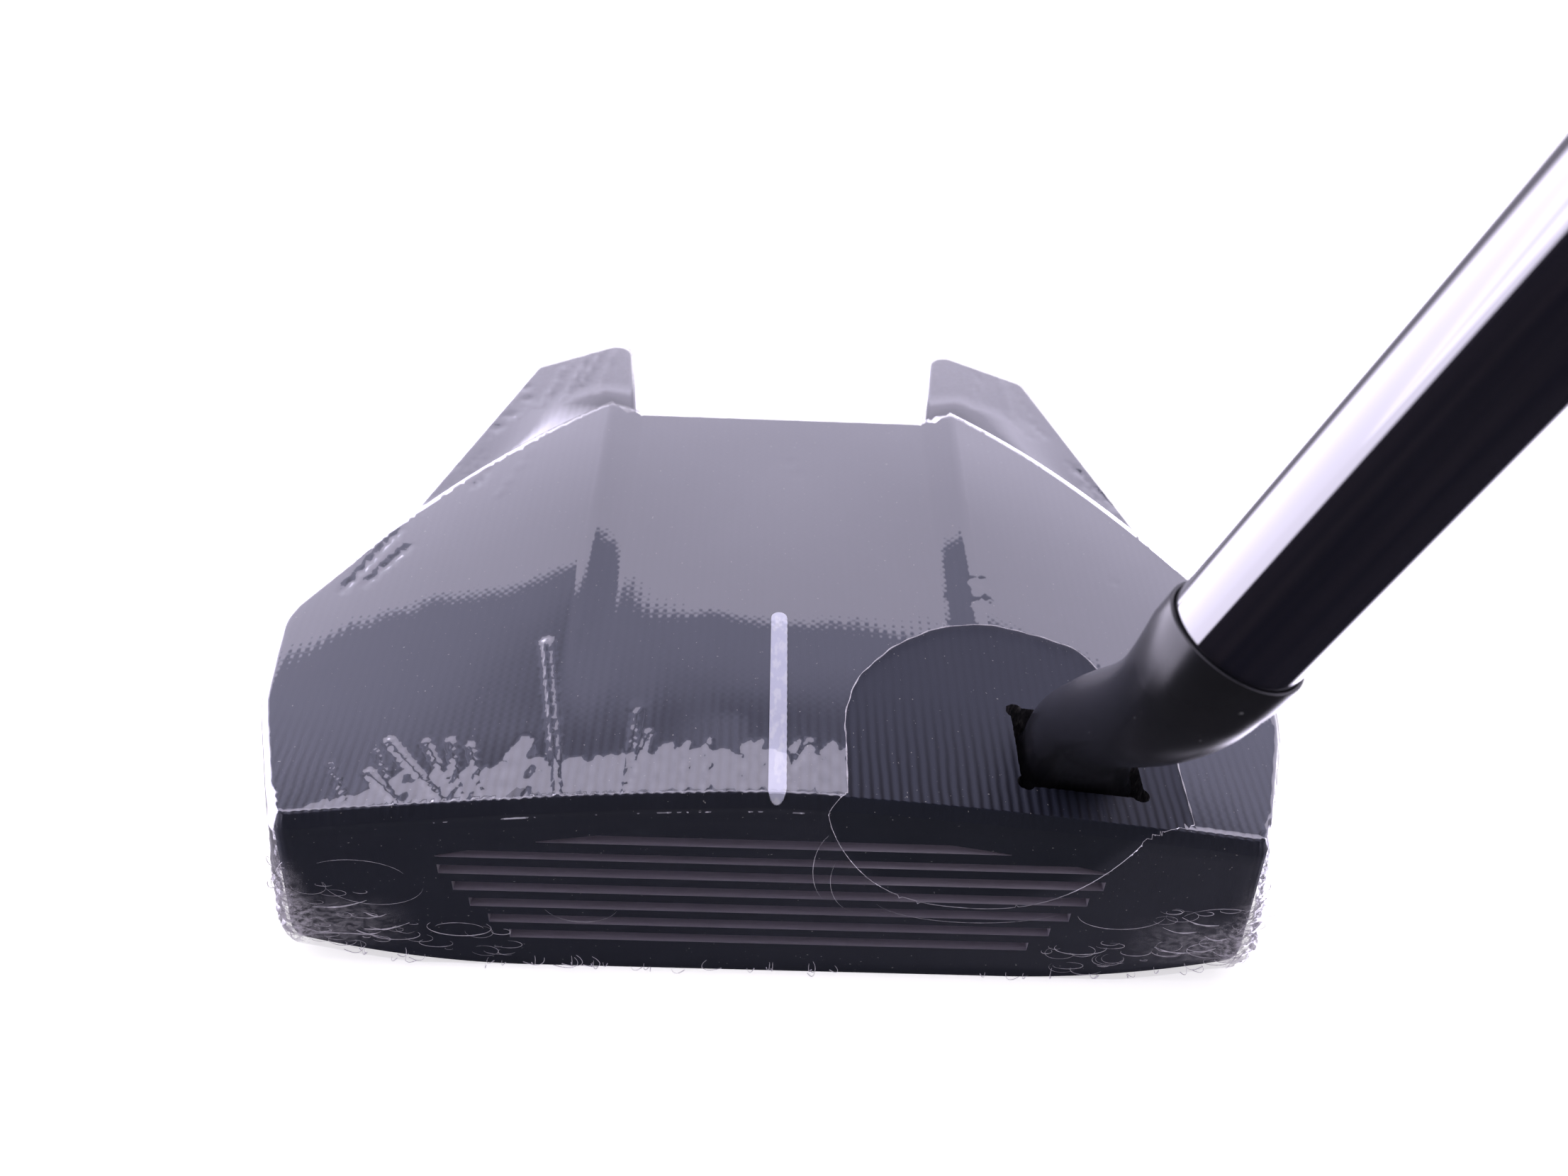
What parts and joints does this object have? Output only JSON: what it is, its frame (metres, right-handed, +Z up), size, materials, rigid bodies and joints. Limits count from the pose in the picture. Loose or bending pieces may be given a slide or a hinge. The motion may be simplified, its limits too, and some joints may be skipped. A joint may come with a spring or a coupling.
{
  "type": "mallet putter",
  "caption": "Mallet golf putter with a grooved face, two rear wings, a bolted slant neck, a stepped shaft, a rubber grip, screw-in sole weights and a clear shrink film on the head.",
  "frame": {"origin": "on the ground at the middle of the sole plate, with the club at address", "axes": "+X to the heel, +Y away from the face, +Z up; the shaft leans towards +X at a lie of 69.9 degrees"},
  "size_m": [0.3738, 0.0971, 0.8168],
  "materials": {
    "black_anodised": "milled and anodised matte black",
    "white_paint": "paint fill",
    "satin_black": "satin black coating",
    "gloss_black": "gloss black plating",
    "stainless_steel": "turned or brushed",
    "black_oxide_steel": "black oxide",
    "black_rubber": "matte",
    "grip_rubber": "matte, finely textured",
    "tape": "double-sided tape",
    "clear_film": "clear shrink film"
  },
  "bodies": {
    "club": {"head_body": "black_anodised", "alignment_line": "white_paint", "neck": "satin_black", "neck_screw": "black_oxide_steel", "neck_screw_washer": "black_oxide_steel", "sole_plate": "stainless_steel", "plate_gasket": "black_rubber", "plate_screw_1": "black_oxide_steel", "plate_screw_2": "black_oxide_steel", "plate_screw_3": "black_oxide_steel", "plate_screw_4": "black_oxide_steel", "shaft": "gloss_black", "shaft_plug": "black_rubber", "grip": "grip_rubber", "grip_cap": "black_rubber", "grip_tape": "tape", "shrink_film": "clear_film"},
    "heel_weight_seal": {"heel_weight_seal": "black_rubber"},
    "heel_weight": {"heel_weight": "stainless_steel"},
    "toe_weight_seal": {"toe_weight_seal": "black_rubber"},
    "toe_weight": {"toe_weight": "stainless_steel"}
  },
  "joints": [
    {"name": "heel_weight_travel", "type": "slide", "parent": "club", "child": "heel_weight_seal", "axis": [0, 0, -1], "range_m": [0, 0.0114]},
    {"name": "heel_weight_turn", "type": "hinge", "parent": "heel_weight_seal", "child": "heel_weight", "pos_m": [0.0262, 0.031, 0], "axis": [0, 0, -1], "range_deg": [0, 3240]},
    {"name": "toe_weight_travel", "type": "slide", "parent": "club", "child": "toe_weight_seal", "axis": [0, 0, -1], "range_m": [0, 0.0114]},
    {"name": "toe_weight_turn", "type": "hinge", "parent": "toe_weight_seal", "child": "toe_weight", "pos_m": [-0.0262, 0.031, 0], "axis": [0, 0, -1], "range_deg": [0, 3240]}
  ],
  "couplings": [
    {"joint": "heel_weight_travel", "follows": "heel_weight_turn", "m_per_rad": 0.00019894},
    {"joint": "toe_weight_travel", "follows": "toe_weight_turn", "m_per_rad": 0.00019894}
  ]
}
